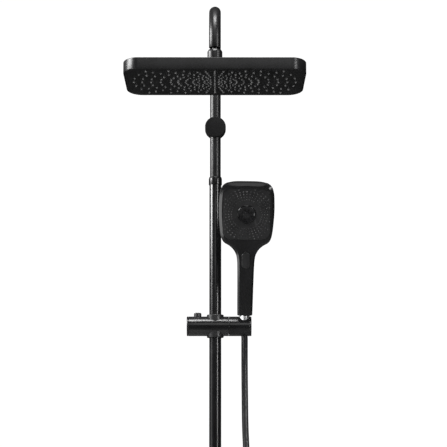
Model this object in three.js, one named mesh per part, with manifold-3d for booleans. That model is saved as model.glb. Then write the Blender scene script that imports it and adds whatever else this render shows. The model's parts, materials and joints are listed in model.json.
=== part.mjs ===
// Rainfall shower column: overhead rain head on a telescopic arm, hand shower on a sliding holder,
// and a thermostatic bar mixer. Millimetres, +Z up, front towards -Y, wall plane at Y = 0.
// The origin is the centre of the upper wall bracket's face against the wall.
import * as THREE from 'three';
import { mergeVertices } from 'three/addons/utils/BufferGeometryUtils.js';
import Module from 'manifold-3d';

const wasm = await Module();
wasm.setup();

// ---- driving dimensions ---------------------------------------------------------------------
const GAP = 0.3; // clearance between neighbouring pieces
const COLUMN_Y = -65; // column axis, from the wall

const ARM_R = 10; // overhead arm and its straight leg
const ARM_BORE_R = 8.8;
const ARM_TOP_Z = 142; // centreline of the horizontal run
const ARM_REACH = 340; // column axis to rain head centre
const REAR_BEND_R = 80;
const FRONT_BEND_R = 60;
const LEG_BOTTOM_Z = -360; // end of the leg, inside the riser
const ARM_END_Z = 66; // lower end of the arm, above the rain head

const RISER_R = 11;
const RISER_BORE_R = 10.4;
const RISER_TOP_Z = -97.5;
const COLLAR_R = 12.25;
const COLLAR_TOP_Z = -93.4;
const COLLAR_BOTTOM_Z = -107.9;

const BRACKET_R = 19.5;
const BRACKET_REAR_Y = -53.2;
const BRACKET_FRONT_Y = -77;

const HEAD_WIDTH = 302;
const HEAD_DEPTH = 190;
const HEAD_CORNER = [26, 40]; // corner radii across and along
const HEAD_BOTTOM_Z = 6;
const HEAD_TOP_Z = 25.5;
const HEAD_Y = COLUMN_Y - ARM_REACH;
const BALL_Z = 48; // centre of the ball joint
const BALL_R = 8.5;
const NUT_TOP_Z = 62;

const SLIDER_Z = -372;
const SLIDER_R = 18;
const SLIDER_LEFT_X = -52.3;
const SEAM_X = 25.1; // between the sliding body and the tilting holder
const HOLDER_RIGHT_X = 66.5;
const HOLDER_X = 54; // centre of the handset socket
const HOLDER_TILT = THREE.MathUtils.degToRad(25);
const BUTTON_X = -32.4;
const SPIGOT_R = 13.6; // register that centres the holder on the sliding body

const CONE_TOP_R = 9.3; // conical hose nut
const CONE_BOTTOM_R = 8.2;
const HANDLE_RISE = 24.8; // handle's lower end, from the holder axis
const HANDSET_LEAN = THREE.MathUtils.degToRad(0.8); // to the right, in its loose socket
const HANDSET_LENGTH = 250;

const MIXER_Z = -1060;
const MIXER_R = 22;
const INLET_X = 75; // half of the 150 mm inlet spacing
const HANDLE_R = 24;
const OUTLET_X = -60; // hose outlet
const OUTLET_BOTTOM_Z = MIXER_Z - 38;

const HOSE_R = 6;
const HOSE_ROUTE = [
  [OUTLET_X, -65, -1111],
  [OUTLET_X, -65, -1160],
  [-60, -66, -1230],
  [-57, -68, -1300],
  [-36, -77, -1362],
  [3, -96, -1397],
  [52, -120, -1397],
  [91, -138, -1362],
  [109, -146, -1300],
  [112, -146, -1200],
  [110, -143, -1090],
  [102, -135, -980],
  [89, -119, -870],
  [74, -99, -760],
  [61, -76, -660],
  [55.5, -58, -570],
  [54.3, -49.5, -490],
  [54, -48, -435],
  [54, -57.5, -387.8],
];

// ---- materials ------------------------------------------------------------------------------
const finish = (color, roughness, metalness) => ({ color, roughness, metalness });
const MATT_BLACK = finish(0x1d1d1f, 0.34, 0.55);
const BLACK_PLASTIC = finish(0x242426, 0.42, 0);
const BLACK_RUBBER = finish(0x151515, 0.8, 0);
const HOSE_GREY = finish(0x3a3a3c, 0.4, 0.1);
const CHROME = finish(0xd8dadc, 0.12, 1);
const BRASS = finish(0xb08d4f, 0.35, 1);
const STEEL = finish(0xa9abad, 0.3, 1);
const WHITE_NYLON = finish(0xe6e4dc, 0.5, 0);
const GREY_SILICONE = finish(0x5b5c5e, 0.6, 0);

const column = new THREE.Group();

// ---- geometry helpers -----------------------------------------------------------------------

// Welds shared vertices and drops triangles that have collapsed to a line.
function welded(geometry) {
  geometry.deleteAttribute('normal');
  geometry.deleteAttribute('uv');
  const merged = mergeVertices(geometry, 1e-4);
  const index = merged.index.array;
  const kept = [];
  for (let i = 0; i < index.length; i += 3) {
    const [a, b, c] = [index[i], index[i + 1], index[i + 2]];
    if (a !== b && b !== c && c !== a) kept.push(a, b, c);
  }
  merged.setIndex(kept);
  return merged;
}

function toSolid(geometry) {
  return new wasm.Manifold(new wasm.Mesh({
    numProp: 3,
    vertProperties: new Float32Array(geometry.attributes.position.array),
    triVerts: new Uint32Array(geometry.index.array),
  }));
}

function toGeometry(solid) {
  const mesh = solid.getMesh();
  const geometry = new THREE.BufferGeometry();
  geometry.setAttribute('position', new THREE.BufferAttribute(mesh.vertProperties.slice(), 3));
  geometry.setIndex(new THREE.BufferAttribute(mesh.triVerts.slice(), 1));
  return geometry;
}

function cut(geometry, ...tools) {
  return toGeometry(tools.reduce((solid, tool) => solid.subtract(toSolid(tool)), toSolid(geometry)));
}

function join(geometry, ...others) {
  return toGeometry(others.reduce((solid, other) => solid.add(toSolid(other)), toSolid(geometry)));
}

// Turned piece about Z. The profile is [radius, height] points, material on its left.
function turned(profile, sides = 16) {
  const points = profile.map(([r, z]) => new THREE.Vector2(r, z));
  return welded(new THREE.LatheGeometry(points, sides).rotateX(Math.PI / 2));
}

function rod(radius, low, high, sides = 16) {
  return turned([[0, low], [radius, low], [radius, high], [0, high]], sides);
}

function ring(outer, inner, low, high, sides = 16) {
  return turned([[inner, low], [outer, low], [outer, high], [inner, high], [inner, low]], sides);
}

// Turns a piece made along Z: height becomes +X, or the distance from the wall (-Y).
const alongX = (geometry) => geometry.rotateY(Math.PI / 2);
const offWall = (geometry) => geometry.rotateX(Math.PI / 2);

function box(low, high) {
  const size = high.map((value, i) => value - low[i]);
  const middle = high.map((value, i) => (value + low[i]) / 2);
  return welded(new THREE.BoxGeometry(...size).translate(...middle));
}

// Rectangle with elliptical corners.
function roundedOutline(width, depth, cornerX, cornerY) {
  const x = width / 2 - cornerX;
  const y = depth / 2 - cornerY;
  const shape = new THREE.Shape();
  const centres = [[x, y], [-x, y], [-x, -y], [x, -y]];
  centres.forEach(([cx, cy], quarter) => {
    const start = quarter * Math.PI / 2;
    shape.absellipse(cx, cy, cornerX, cornerY, start, start + Math.PI / 2);
  });
  return shape;
}

// Flat plate from an outline, with an optional chamfer round both faces.
function plate(shape, low, high, chamfer = 0, curveSegments = 2) {
  const geometry = new THREE.ExtrudeGeometry(shape, {
    depth: high - low - 2 * chamfer,
    bevelEnabled: chamfer > 0,
    bevelThickness: chamfer,
    bevelSize: chamfer,
    bevelOffset: -chamfer,
    bevelSegments: 1,
    curveSegments,
  });
  return welded(geometry.translate(0, 0, low + chamfer));
}

// A polygon of the given number of sides, as outline points.
function circlePoints(radius, sides) {
  return Array.from({ length: sides }, (_, i) => {
    const angle = (i / sides) * 2 * Math.PI;
    return new THREE.Vector2(radius * Math.cos(angle), radius * Math.sin(angle));
  });
}

// A route through chosen stations; its parameter counts stations, not length.
class StationRoute extends THREE.Curve {
  constructor(stations) {
    super();
    this.stations = stations;
  }

  getPoint(t, target = new THREE.Vector3()) {
    const last = this.stations.length - 1;
    const at = Math.min(Math.max(t, 0), 1) * last;
    const i = Math.min(Math.floor(at), last - 1);
    return target.lerpVectors(this.stations[i], this.stations[i + 1], at - i);
  }

  getUtoTmapping(u) {
    return u;
  }
}

function swept(route, steps, outer, inner, sides) {
  const shape = new THREE.Shape(circlePoints(outer, sides));
  if (inner > 0) shape.holes.push(new THREE.Path(circlePoints(inner, sides)));
  return welded(new THREE.ExtrudeGeometry(shape, { steps, extrudePath: route, bevelEnabled: false }));
}

// Skin through superellipse sections. Each is [z, half width, front depth, rear depth, power].
function lofted(sections, sides) {
  const positions = [];
  const index = [];
  const bend = (value, power) => Math.sign(value) * Math.abs(value) ** (2 / power);
  for (const [z, half, front, rear, power] of sections) {
    for (let i = 0; i < sides; i += 1) {
      const angle = ((i + 0.5) / sides) * 2 * Math.PI;
      const depth = Math.sin(angle) < 0 ? front : rear;
      positions.push(half * bend(Math.cos(angle), power), depth * bend(Math.sin(angle), power), z);
    }
  }
  for (let s = 0; s < sections.length - 1; s += 1) {
    for (let i = 0; i < sides; i += 1) {
      const a = s * sides + i;
      const b = s * sides + ((i + 1) % sides);
      index.push(a, b, b + sides, a, b + sides, a + sides);
    }
  }
  const lowCentre = positions.length / 3;
  positions.push(0, 0, sections[0][0], 0, 0, sections.at(-1)[0]);
  const top = (sections.length - 1) * sides;
  for (let i = 0; i < sides; i += 1) {
    const next = (i + 1) % sides;
    index.push(lowCentre, next, i, lowCentre + 1, top + i, top + next);
  }
  const geometry = new THREE.BufferGeometry();
  geometry.setAttribute('position', new THREE.Float32BufferAttribute(positions, 3));
  geometry.setIndex(index);
  return geometry;
}

// Adds a named piece to a group.
function piece(name, geometry, look, group = column) {
  const mesh = new THREE.Mesh(geometry, new THREE.MeshStandardMaterial(look));
  mesh.name = name;
  group.add(mesh);
  return mesh;
}

// ---- upper wall bracket ---------------------------------------------------------------------
function addWallBracket() {
  const bossR = 7.4;
  const stemR = 9;
  const bossLength = 20;
  const grubZ = 8.5;

  const countersink = turned([[0, -1], [2.6, -1], [2.6, 13], [4.6, 16], [4.6, 21], [0, 21]], 16);
  piece('wall_boss', offWall(cut(rod(bossR, 0, bossLength), countersink)), BRASS);
  piece('wall_boss_screw', offWall(turned([
    [0, 0], [2.2, 0], [2.2, 13.2], [4.1, 16.3], [4.1, 17.4], [0, 17.4],
  ], 16)), STEEL);

  const stem = offWall(rod(stemR, 1, -BRACKET_REAR_Y + 1));
  const socket = offWall(rod(bossR + GAP, 0, bossLength + 0.4));
  const barrel = offWall(rod(BRACKET_R, -BRACKET_REAR_Y, -BRACKET_FRONT_Y, 24));
  const armBore = rod(ARM_R + 0.45, -30, 30, 20).translate(0, COLUMN_Y, 0);
  const grubBore = alongX(rod(2.6, 5, 30, 12)).translate(0, COLUMN_Y, 0);
  const stemGrubBore = rod(2.2, -12, -5, 12).translate(0, -grubZ, 0);
  piece('wall_bracket', cut(join(stem, barrel), socket, armBore, grubBore, stemGrubBore), MATT_BLACK);
  piece('bracket_cap', offWall(turned([
    [0, -BRACKET_FRONT_Y + GAP], [BRACKET_R, -BRACKET_FRONT_Y + GAP],
    [BRACKET_R, -BRACKET_FRONT_Y + 1.6], [BRACKET_R - 1, -BRACKET_FRONT_Y + 2.6],
    [0, -BRACKET_FRONT_Y + 2.6],
  ], 24)), MATT_BLACK);
  const armGrub = alongX(rod(2.3, ARM_R + GAP, 16.5, 12)).translate(0, COLUMN_Y, 0);
  piece('arm_grub_screw', armGrub, STEEL);
  piece('stem_grub_screw', rod(1.9, -9, -7.5, 12).translate(0, -grubZ, 0), STEEL);
}

// ---- riser ----------------------------------------------------------------------------------
function addRiser() {
  const bossTop = MIXER_Z + 28;
  piece('riser_tube', ring(RISER_R, RISER_BORE_R, bossTop + 3, RISER_TOP_Z, 20)
    .translate(0, COLUMN_Y, 0), MATT_BLACK);
  piece('telescope_collar', turned([
    [RISER_R + GAP + 0.1, COLLAR_BOTTOM_Z], [COLLAR_R, COLLAR_BOTTOM_Z],
    [COLLAR_R, COLLAR_TOP_Z - 3.5], [COLLAR_R - 1, COLLAR_TOP_Z], [ARM_R + 0.4, COLLAR_TOP_Z],
    [ARM_R + 0.4, RISER_TOP_Z + 2.6], [RISER_R + GAP + 0.1, RISER_TOP_Z + 2.6],
    [RISER_R + GAP + 0.1, COLLAR_BOTTOM_Z],
  ], 20).translate(0, COLUMN_Y, 0), MATT_BLACK);
  piece('collar_guide_ring', ring(RISER_R, ARM_R + 0.4, RISER_TOP_Z + GAP, RISER_TOP_Z + 2.3, 20)
    .translate(0, COLUMN_Y, 0), WHITE_NYLON);
  piece('riser_washer', ring(11.6, 8, bossTop + GAP, bossTop + 2.6, 20)
    .translate(0, COLUMN_Y, 0), BLACK_RUBBER);
  piece('riser_olive', turned([
    [11.35, bossTop + 3.4], [12.1, bossTop + 5], [12.1, bossTop + 7.5], [11.35, bossTop + 9],
    [11.35, bossTop + 3.4],
  ]).translate(0, COLUMN_Y, 0), BRASS);
  piece('riser_nut', turned([
    [12.5, bossTop - 5.4], [15.5, bossTop - 5.4], [15.5, bossTop + 14], [13.5, bossTop + 17],
    [11.4, bossTop + 17], [11.4, bossTop + 9.6], [12.5, bossTop + 8.6], [12.5, bossTop - 5.4],
  ], 20).translate(0, COLUMN_Y, 0), MATT_BLACK);
}

// ---- overhead arm ---------------------------------------------------------------------------
function armStations() {
  const bendSteps = 6;
  const stations = [new THREE.Vector3(0, 0, LEG_BOTTOM_Z)];
  for (let i = 0; i <= bendSteps; i += 1) {
    const angle = (i / bendSteps) * Math.PI / 2;
    const y = -REAR_BEND_R * (1 - Math.cos(angle));
    stations.push(new THREE.Vector3(0, y, ARM_TOP_Z - REAR_BEND_R * (1 - Math.sin(angle))));
  }
  for (let i = 0; i <= bendSteps; i += 1) {
    const angle = (i / bendSteps) * Math.PI / 2;
    const y = -ARM_REACH + FRONT_BEND_R * (1 - Math.sin(angle));
    stations.push(new THREE.Vector3(0, y, ARM_TOP_Z - FRONT_BEND_R * (1 - Math.cos(angle))));
  }
  stations.push(new THREE.Vector3(0, -ARM_REACH, ARM_END_Z));
  return stations;
}

function addArm() {
  const stations = armStations();
  const tube = swept(new StationRoute(stations), stations.length - 1, ARM_R, ARM_BORE_R, 16);
  piece('overhead_arm', tube.translate(0, COLUMN_Y, 0), MATT_BLACK);
  piece('arm_guide_bush', ring(RISER_BORE_R - 0.35, 7, LEG_BOTTOM_Z - 16, LEG_BOTTOM_Z - GAP)
    .translate(0, COLUMN_Y, 0), WHITE_NYLON);

  // ball stud: threaded plug inside the arm's end, neck, and ball with a water way through it
  const neckR = 5;
  const ballProfile = [[3, BALL_Z - 7.95]];
  for (let step = 0; step <= 7; step += 1) {
    const angle = THREE.MathUtils.degToRad(-65 + step * 17);
    ballProfile.push([BALL_R * Math.cos(angle), BALL_Z + BALL_R * Math.sin(angle)]);
  }
  ballProfile.push(
    [neckR, ARM_END_Z - 0.6], [8.4, ARM_END_Z + 0.4], [8.4, ARM_END_Z + 14], [3, ARM_END_Z + 14],
    [3, BALL_Z - 7.95],
  );
  piece('ball_stud', turned(ballProfile, 20).translate(0, HEAD_Y, 0), MATT_BLACK);
  piece('filter_washer', ring(8.4, 2.6, ARM_END_Z + 14.3, ARM_END_Z + 17, 16)
    .translate(0, HEAD_Y, 0), BLACK_RUBBER);
}

// ---- rain head ------------------------------------------------------------------------------
function spherePoint(radius, degrees) {
  const angle = THREE.MathUtils.degToRad(degrees);
  return [radius * Math.cos(angle), BALL_Z + radius * Math.sin(angle)];
}

function addBallJoint() {
  const seatInner = BALL_R + 0.35;
  const seatOuter = 10.7;
  piece('ball_seat_ring', turned([
    spherePoint(seatInner, 8), spherePoint(seatOuter, 8), spherePoint(seatOuter, 22),
    spherePoint(seatOuter, 24), spherePoint(seatInner, 40), spherePoint(seatInner, 24),
    spherePoint(seatInner, 8),
  ], 20).translate(0, HEAD_Y, 0), WHITE_NYLON);

  const nutInner = seatOuter + 0.45;
  piece('swivel_nut', turned([
    [11.1, 37], [12.6, 37], [12.6, NUT_TOP_Z - 3.4], [10.6, NUT_TOP_Z], [9.4, NUT_TOP_Z],
    [7.7, BALL_Z + 8.1], spherePoint(nutInner, 40), spherePoint(nutInner, 22),
    [nutInner, BALL_Z + 0.5], [11.1, 37],
  ], 20).translate(0, HEAD_Y, 0), MATT_BLACK);
  piece('ball_seal', turned([
    [7.2, BALL_Z - 5.4], [10.2, BALL_Z - 5.4], [10.2, BALL_Z - 1], spherePoint(seatInner, -7),
    spherePoint(seatInner, -20), [7.2, BALL_Z - 5.4],
  ], 20).translate(0, HEAD_Y, 0), BLACK_RUBBER);
}

function addRainHead() {
  addBallJoint();
  const wall = 1.4;
  const skirt = 4;
  const inset = (amount) => roundedOutline(
    HEAD_WIDTH - 2 * amount, HEAD_DEPTH - 2 * amount, HEAD_CORNER[0] - amount, HEAD_CORNER[1] - amount,
  );

  // pressed tray, open below, with the threaded inlet boss on top
  const tray = plate(inset(0), HEAD_BOTTOM_Z, HEAD_TOP_Z, 1);
  const pocket = plate(inset(wall), HEAD_BOTTOM_Z - 1, HEAD_TOP_Z - wall);
  const boss = turned([
    [0, HEAD_TOP_Z - 1], [15, HEAD_TOP_Z - 1], [14, HEAD_TOP_Z + 6], [10.7, HEAD_TOP_Z + 6],
    [10.7, BALL_Z - 5.8], [0, BALL_Z - 5.8],
  ]);
  const inlet = rod(6, HEAD_TOP_Z - 6, BALL_Z, 20);
  const ballRelief = turned([
    [0, BALL_Z - 9.2], [6.8, BALL_Z - 6.6], [8, BALL_Z - 5], [0, BALL_Z - 5],
  ], 20);
  piece('head_shell', cut(join(cut(tray, pocket), boss), inlet, ballRelief)
    .translate(0, HEAD_Y, 0), MATT_BLACK);

  const facePlate = plate(inset(wall + 0.35), HEAD_BOTTOM_Z + 0.4, HEAD_BOTTOM_Z + 1.8);
  piece('head_face_plate', facePlate.translate(0, HEAD_Y, 0), MATT_BLACK);
  const mat = plate(inset(skirt + 2), HEAD_BOTTOM_Z + 2.1, HEAD_BOTTOM_Z + 4);
  piece('nozzle_mat', mat.translate(0, HEAD_Y, 0), GREY_SILICONE);
  const sealOutline = inset(wall + 0.4);
  sealOutline.holes.push(new THREE.Path(inset(skirt + 1.6).getPoints(4)));
  piece('head_gasket', plate(sealOutline, HEAD_BOTTOM_Z + 2.1, HEAD_BOTTOM_Z + 4)
    .translate(0, HEAD_Y, 0), BLACK_RUBBER);

  // spray chamber: a shallow box over the mat, open to the inlet above and to the mat below
  const chamber = plate(inset(skirt), HEAD_BOTTOM_Z + 4.3, HEAD_TOP_Z - wall - GAP);
  const hollow = plate(inset(skirt + 2), HEAD_BOTTOM_Z + 4, HEAD_TOP_Z - wall - 4);
  const way = rod(6, HEAD_TOP_Z - 8, HEAD_TOP_Z, 20);
  piece('spray_chamber', cut(chamber, hollow, way).translate(0, HEAD_Y, 0), BLACK_PLASTIC);
}

// ---- slider ---------------------------------------------------------------------------------
function addSlider() {
  const slider = new THREE.Group();
  slider.position.set(0, COLUMN_Y, SLIDER_Z);
  column.add(slider);
  const bushR = 15.5;
  const capX = -49.7;
  const cavityR = 14.5;

  const shell = alongX(rod(SLIDER_R, capX + GAP, SEAM_X - GAP, 24));
  const cavity = alongX(rod(cavityR, capX - 1, -18.4));
  const bushBore = rod(bushR + 0.4, -30, 30, 20);
  const shoeBore = alongX(rod(6.6, -19, -10, 20));
  const buttonBore = rod(7.3, 0, 30).translate(BUTTON_X, 0, 0);
  const screwBore = alongX(rod(3.4, 17, 30, 16));
  const spigot = alongX(rod(SPIGOT_R, SEAM_X - 2, SEAM_X + 0.5, 24));
  piece('slider_body',
    cut(join(shell, spigot), cavity, bushBore, shoeBore, buttonBore, screwBore),
    MATT_BLACK, slider);
  piece('slider_end_cap', alongX(turned([
    [0, SLIDER_LEFT_X], [SLIDER_R - 0.8, SLIDER_LEFT_X], [SLIDER_R, SLIDER_LEFT_X + 0.8],
    [SLIDER_R, capX], [cavityR - 0.4, capX], [cavityR - 0.4, capX + 3], [0, capX + 3],
  ], 24)), MATT_BLACK, slider);

  const bush = turned([
    [RISER_R + 0.4, -21], [bushR - 0.6, -21], [bushR, -20.2], [bushR, 20.2], [bushR - 0.6, 21],
    [RISER_R + 0.4, 21], [RISER_R + 0.4, -21],
  ], 20);
  piece('slider_bush', cut(bush, alongX(rod(6.6, -20, 0, 20))), BLACK_PLASTIC, slider);

  // brake: the spring pushes the shoe on to the riser, and the button's wedge draws it back
  const shoe = join(
    alongX(rod(6.2, -24, -11.7, 20)),
    box([-38, -2.6, -2], [-23, 2.6, 2]),
    box([-38.2, -5.4, -2], [-36.6, 5.4, 2]),
  );
  const riserSeat = rod(RISER_R + 0.4, -10, 10, 20);
  piece('brake_shoe', cut(shoe, riserSeat), BLACK_RUBBER, slider);
  const spring = swept(helixRoute(4.6, -45.6, -38.9, 3), 24, 0.6, 0, 4);
  piece('brake_spring', alongX(spring), STEEL, slider);
  piece('brake_button', turned([
    [0, 8.6], [6.9, 8.6], [6.9, 24], [6.1, 24.9], [0, 24.9],
  ]).translate(BUTTON_X, 0, 0), BLACK_PLASTIC, slider);
  piece('button_spring', swept(helixRoute(4.6, 3.2, 8, 3), 24, 0.5, 0, 4)
    .translate(BUTTON_X, 0, 0), STEEL, slider);
  piece('pivot_screw', alongX(turned([
    [0, 18], [3, 18], [3, 36.6], [5.6, 36.6], [5.6, 40.4], [0, 40.4],
  ], 16)), STEEL, slider);
}

// Helix about Z between two heights, as a route with eight stations to a turn.
function helixRoute(radius, low, high, turns) {
  const stations = [];
  const count = turns * 8;
  for (let i = 0; i <= count; i += 1) {
    const angle = (i / 8) * 2 * Math.PI;
    const z = low + ((high - low) * i) / count;
    stations.push(new THREE.Vector3(radius * Math.cos(angle), radius * Math.sin(angle), z));
  }
  return new StationRoute(stations);
}

// ---- tilting holder -------------------------------------------------------------------------
function addHolder() {
  const holder = new THREE.Group();
  holder.position.set(0, COLUMN_Y, SLIDER_Z);
  holder.rotation.x = HOLDER_TILT;
  column.add(holder);

  const barrel = alongX(turned([
    [0, SEAM_X], [SLIDER_R, SEAM_X], [SLIDER_R, HOLDER_RIGHT_X - 3.6],
    [SLIDER_R - 0.5, HOLDER_RIGHT_X - 3.1], [SLIDER_R, HOLDER_RIGHT_X - 2.6],
    [SLIDER_R, HOLDER_RIGHT_X - 0.8], [SLIDER_R - 0.8, HOLDER_RIGHT_X], [0, HOLDER_RIGHT_X],
  ], 24));
  const socket = turned([
    [0, -24.8], [CONE_BOTTOM_R + 1.1, -24.8], [CONE_BOTTOM_R + 1.1, -20],
    [CONE_TOP_R + 0.6, 20], [CONE_TOP_R + 0.6, 24.8], [0, 24.8],
  ], 20).translate(HOLDER_X, 0, 0);
  const slot = box([HOLDER_X - 6.8, 0, -30], [HOLDER_X + 6.8, 30, 30]);
  const screwBore = alongX(rod(3.4, 20, 50, 16));
  const headBore = alongX(rod(6, 36.2, 54, 16));
  const register = alongX(rod(SPIGOT_R + 0.4, SEAM_X - 1, SEAM_X + 0.8, 24));
  piece('handset_holder', cut(barrel, socket, slot, screwBore, headBore, register),
    MATT_BLACK, holder);
  return holder;
}

// ---- hand shower ----------------------------------------------------------------------------

// Sections of the hand shower along its length: height, half width, front, rear, squareness.
const HANDSET_SECTIONS = [
  [0, 13, 12.6, 12.6, 2.3],
  [1.2, 13.8, 13.4, 13.4, 2.4],
  [60, 14.7, 13.4, 13.4, 2.7],
  [100, 15.6, 12.8, 12.4, 3],
  [112, 16.9, 12.2, 11.4, 3.2],
  [120, 19.8, 11.6, 10.4, 3.4],
  [127, 24.6, 11.2, 9.4, 3.8],
  [133, 31.5, 11, 8.6, 4.2],
  [138, 40, 10.9, 8.3, 4.6],
  [144, 44, 10.8, 8.1, 4.8],
  [152, 46.4, 10.8, 8, 5],
  [172, 48.8, 10.8, 7.8, 5],
  [200, 50.2, 10.8, 7.6, 5],
  [226, 49.4, 10.8, 7.6, 5],
  [238, 46.8, 10.8, 7.2, 4.8],
  [244, 43.4, 10.6, 6.8, 4.6],
  [248.8, 36, 9.2, 6.2, 4],
  [HANDSET_LENGTH, 29, 8.4, 5.4, 3.6],
];

const FACE_Z = 192; // centre of the spray face, from the handle's lower end
const FACE_SIZE = [86, 96];
const FACE_FRONT_Y = -10.8;

function addHandset(holder) {
  const handset = new THREE.Group();
  handset.position.set(HOLDER_X, 0, HANDLE_RISE);
  handset.rotation.y = HANDSET_LEAN;
  holder.add(handset);
  const skin = 2.2;
  const buttonZ = 106;
  const facing = (geometry, z) => geometry.rotateX(Math.PI / 2).translate(0, 0, z);
  const window = (amount) => roundedOutline(
    FACE_SIZE[0] - 2 * amount, FACE_SIZE[1] - 2 * amount, 16 - amount, 16 - amount,
  );
  const pill = (amount) => roundedOutline(
    15.6 - 2 * amount, 31 - 2 * amount, 7.5 - amount, 7.5 - amount,
  );

  const inner = HANDSET_SECTIONS.slice(2, -2).map(([z, half, front, rear, power]) => (
    [z, half - skin, front - skin, rear - skin, power]
  ));
  const [firstInner] = inner;
  inner.unshift([12, firstInner[1] - 1.2, firstInner[2], firstInner[3], 2.4]);
  const threadBore = rod(8.4, -1, 20);
  const body = cut(
    lofted(HANDSET_SECTIONS, 20),
    lofted(inner, 20),
    threadBore,
    facing(plate(window(0), 5, 20), FACE_Z),
    facing(plate(pill(0), 5, 20), buttonZ),
  );
  piece('handset_body', body, MATT_BLACK, handset);

  const discR = 17;
  const face = cut(
    plate(window(GAP), -FACE_FRONT_Y - 4, -FACE_FRONT_Y - 0.6, 0.5),
    rod(discR + GAP, 0, 20, 20),
  );
  piece('handset_face_plate', facing(face, FACE_Z), BLACK_PLASTIC, handset);
  piece('spray_disc', facing(turned([
    [0, 6.8], [discR, 6.8], [discR, 9.9], [discR - 1.2, 10.9], [discR - 4, 10.3], [0, 10.3],
  ], 20), FACE_Z), BLACK_PLASTIC, handset);
  piece('mode_button', facing(plate(pill(0.35), 9, 14.2, 0.8), buttonZ), BLACK_PLASTIC, handset);

  // water way: tube up the handle into a flat chamber behind the spray face
  const chamber = plate(window(5), -3.4, 4.6);
  const chamberHollow = plate(window(7), -1.4, 6);
  const riserWay = rod(5, 22, FACE_Z - 38, 16);
  const riserBore = rod(3.4, 20, FACE_Z - 30, 16);
  piece('handset_waterway', cut(
    join(facing(cut(chamber, chamberHollow), FACE_Z), riserWay),
    riserBore,
  ), BLACK_PLASTIC, handset);
  piece('handset_connector', turned([
    [4.4, -12], [6.4, -12], [6.4, -0.6], [7.9, 0.4], [7.9, 19], [5.4, 21.6], [4.4, 21.6],
    [4.4, -12],
  ], 20), BRASS, handset);
  piece('upper_hose_washer', ring(6.4, 4, -15, -12.3, 16), BLACK_RUBBER, handset);
  piece('cone_nut', turned([
    [6.4, -40], [CONE_BOTTOM_R - 0.4, -40], [CONE_BOTTOM_R, -39.4], [CONE_TOP_R, -12],
    [CONE_TOP_R, -1.2], [CONE_TOP_R - 0.5, -0.6], [6.9, -0.6], [6.9, -18], [6.4, -19],
    [6.4, -40],
  ], 20), CHROME, handset);
}

// ---- hose -----------------------------------------------------------------------------------
function addHose() {
  const route = new THREE.CatmullRomCurve3(HOSE_ROUTE.map((point) => new THREE.Vector3(...point)));
  route.arcLengthDivisions = 2000;
  piece('hose', swept(route, 48, HOSE_R, 0, 8), HOSE_GREY);
  piece('lower_hose_nut', turned([
    [HOSE_R + 0.6, OUTLET_BOTTOM_Z - 14], [9.4, OUTLET_BOTTOM_Z - 14], [11.4, OUTLET_BOTTOM_Z - 11],
    [11.4, OUTLET_BOTTOM_Z + 8], [9.9, OUTLET_BOTTOM_Z + 8], [9.9, OUTLET_BOTTOM_Z - 3],
    [HOSE_R + 0.6, OUTLET_BOTTOM_Z - 3], [HOSE_R + 0.6, OUTLET_BOTTOM_Z - 14],
  ]).translate(OUTLET_X, COLUMN_Y, 0), MATT_BLACK);
  piece('lower_hose_washer', ring(9.4, 5, OUTLET_BOTTOM_Z - 2.6, OUTLET_BOTTOM_Z - GAP, 16)
    .translate(OUTLET_X, COLUMN_Y, 0), BLACK_RUBBER);
}

// ---- mixer ----------------------------------------------------------------------------------
function addMixer() {
  const mixer = new THREE.Group();
  mixer.position.set(0, COLUMN_Y, MIXER_Z);
  column.add(mixer);
  const bodyEnd = 92;
  const pocketR = 17;
  const pocketEnd = 22;
  const bar = alongX(turned([
    [0, -bodyEnd], [MIXER_R - 1, -bodyEnd], [MIXER_R, -bodyEnd + 1], [MIXER_R, bodyEnd - 1],
    [MIXER_R - 1, bodyEnd], [0, bodyEnd],
  ], 24));
  const topBoss = rod(12, 0, 28);
  const outletBoss = rod(9.4, -38, 0, 20).translate(OUTLET_X, 0, 0);
  const inletBoss = (side) => rod(12, 0, 28.7).rotateX(-Math.PI / 2).translate(side * INLET_X, 0, 0);
  const inletBore = (side) => rod(7, 0, 30, 20).rotateX(-Math.PI / 2).translate(side * INLET_X, 0, 0);
  piece('mixer_body', cut(
    join(bar, topBoss, outletBoss, inletBoss(-1), inletBoss(1)),
    alongX(rod(pocketR, pocketEnd, bodyEnd + 1, 20)),
    alongX(rod(pocketR, -bodyEnd - 1, -pocketEnd, 20)),
    alongX(rod(8, -pocketEnd - 1, pocketEnd + 1, 20)),
    rod(7, 0, 30, 20),
    rod(5, -40, 0, 20).translate(OUTLET_X, 0, 0),
    inletBore(-1),
    inletBore(1),
  ), MATT_BLACK, mixer);

  const cartridge = (side) => {
    const shape = alongX(turned([
      [0, pocketEnd + GAP], [pocketR - 0.5, pocketEnd + GAP], [pocketR - 0.5, 52], [12, 54],
      [12, 84], [pocketR - 0.5, 86], [pocketR - 0.5, bodyEnd - 0.4], [5, bodyEnd - 0.4],
      [5, 106], [0, 106],
    ], 20));
    return side > 0 ? shape : shape.rotateZ(Math.PI);
  };
  piece('thermostatic_cartridge', cartridge(1), BRASS, mixer);
  piece('diverter_cartridge', cartridge(-1), BRASS, mixer);

  const handleStart = bodyEnd + 0.6;
  const handleEnd = 142;
  const grip = alongX(turned([
    [0, 107], [5.4, 107], [5.4, handleStart], [HANDLE_R - 0.8, handleStart],
    [HANDLE_R, handleStart + 0.8], [HANDLE_R, handleEnd - 2], [HANDLE_R - 2, handleEnd],
    [0, handleEnd],
  ], 24));
  const stopPocket = offWall(rod(5.4, 14, 30, 20)).translate(118, 0, 0);
  piece('temperature_handle', cut(grip.clone(), stopPocket), MATT_BLACK, mixer);
  piece('temperature_stop_button', offWall(turned([
    [0, 17], [4.9, 17], [4.9, 25], [4.2, 25.8], [0, 25.8],
  ], 20)).translate(118, 0, 0), BLACK_PLASTIC, mixer);
  piece('diverter_handle', grip.rotateZ(Math.PI), MATT_BLACK, mixer);
}

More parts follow.
